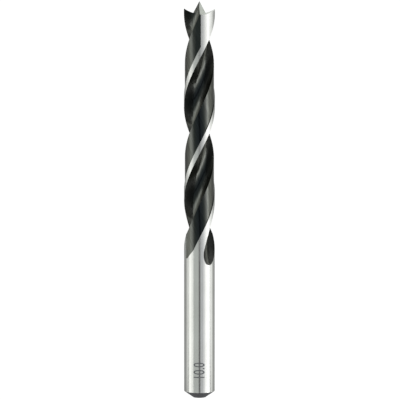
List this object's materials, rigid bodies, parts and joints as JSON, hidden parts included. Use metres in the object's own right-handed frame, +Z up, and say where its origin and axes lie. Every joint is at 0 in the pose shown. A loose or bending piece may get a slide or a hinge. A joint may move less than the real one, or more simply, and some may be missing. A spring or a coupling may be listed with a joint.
{
  "type": "wood drill bit",
  "caption": "Brad-point twist drill bit for wood: sharp centre point between spurred lips, helical flutes with ground margins and a plain round shank with a bevelled end.",
  "frame": {"origin": "on the ground it lies on, below the middle of its length", "axes": "+Y along the drill's axis from the shank to the centre point, +Z up; the cutting edges point along +X and -X where the lips are lowest"},
  "size_m": [0.01, 0.128, 0.01],
  "materials": {
    "tool_steel": "ground and black oxide"
  },
  "bodies": {
    "root": {"drill_bit": "tool_steel"}
  },
  "joints": []
}
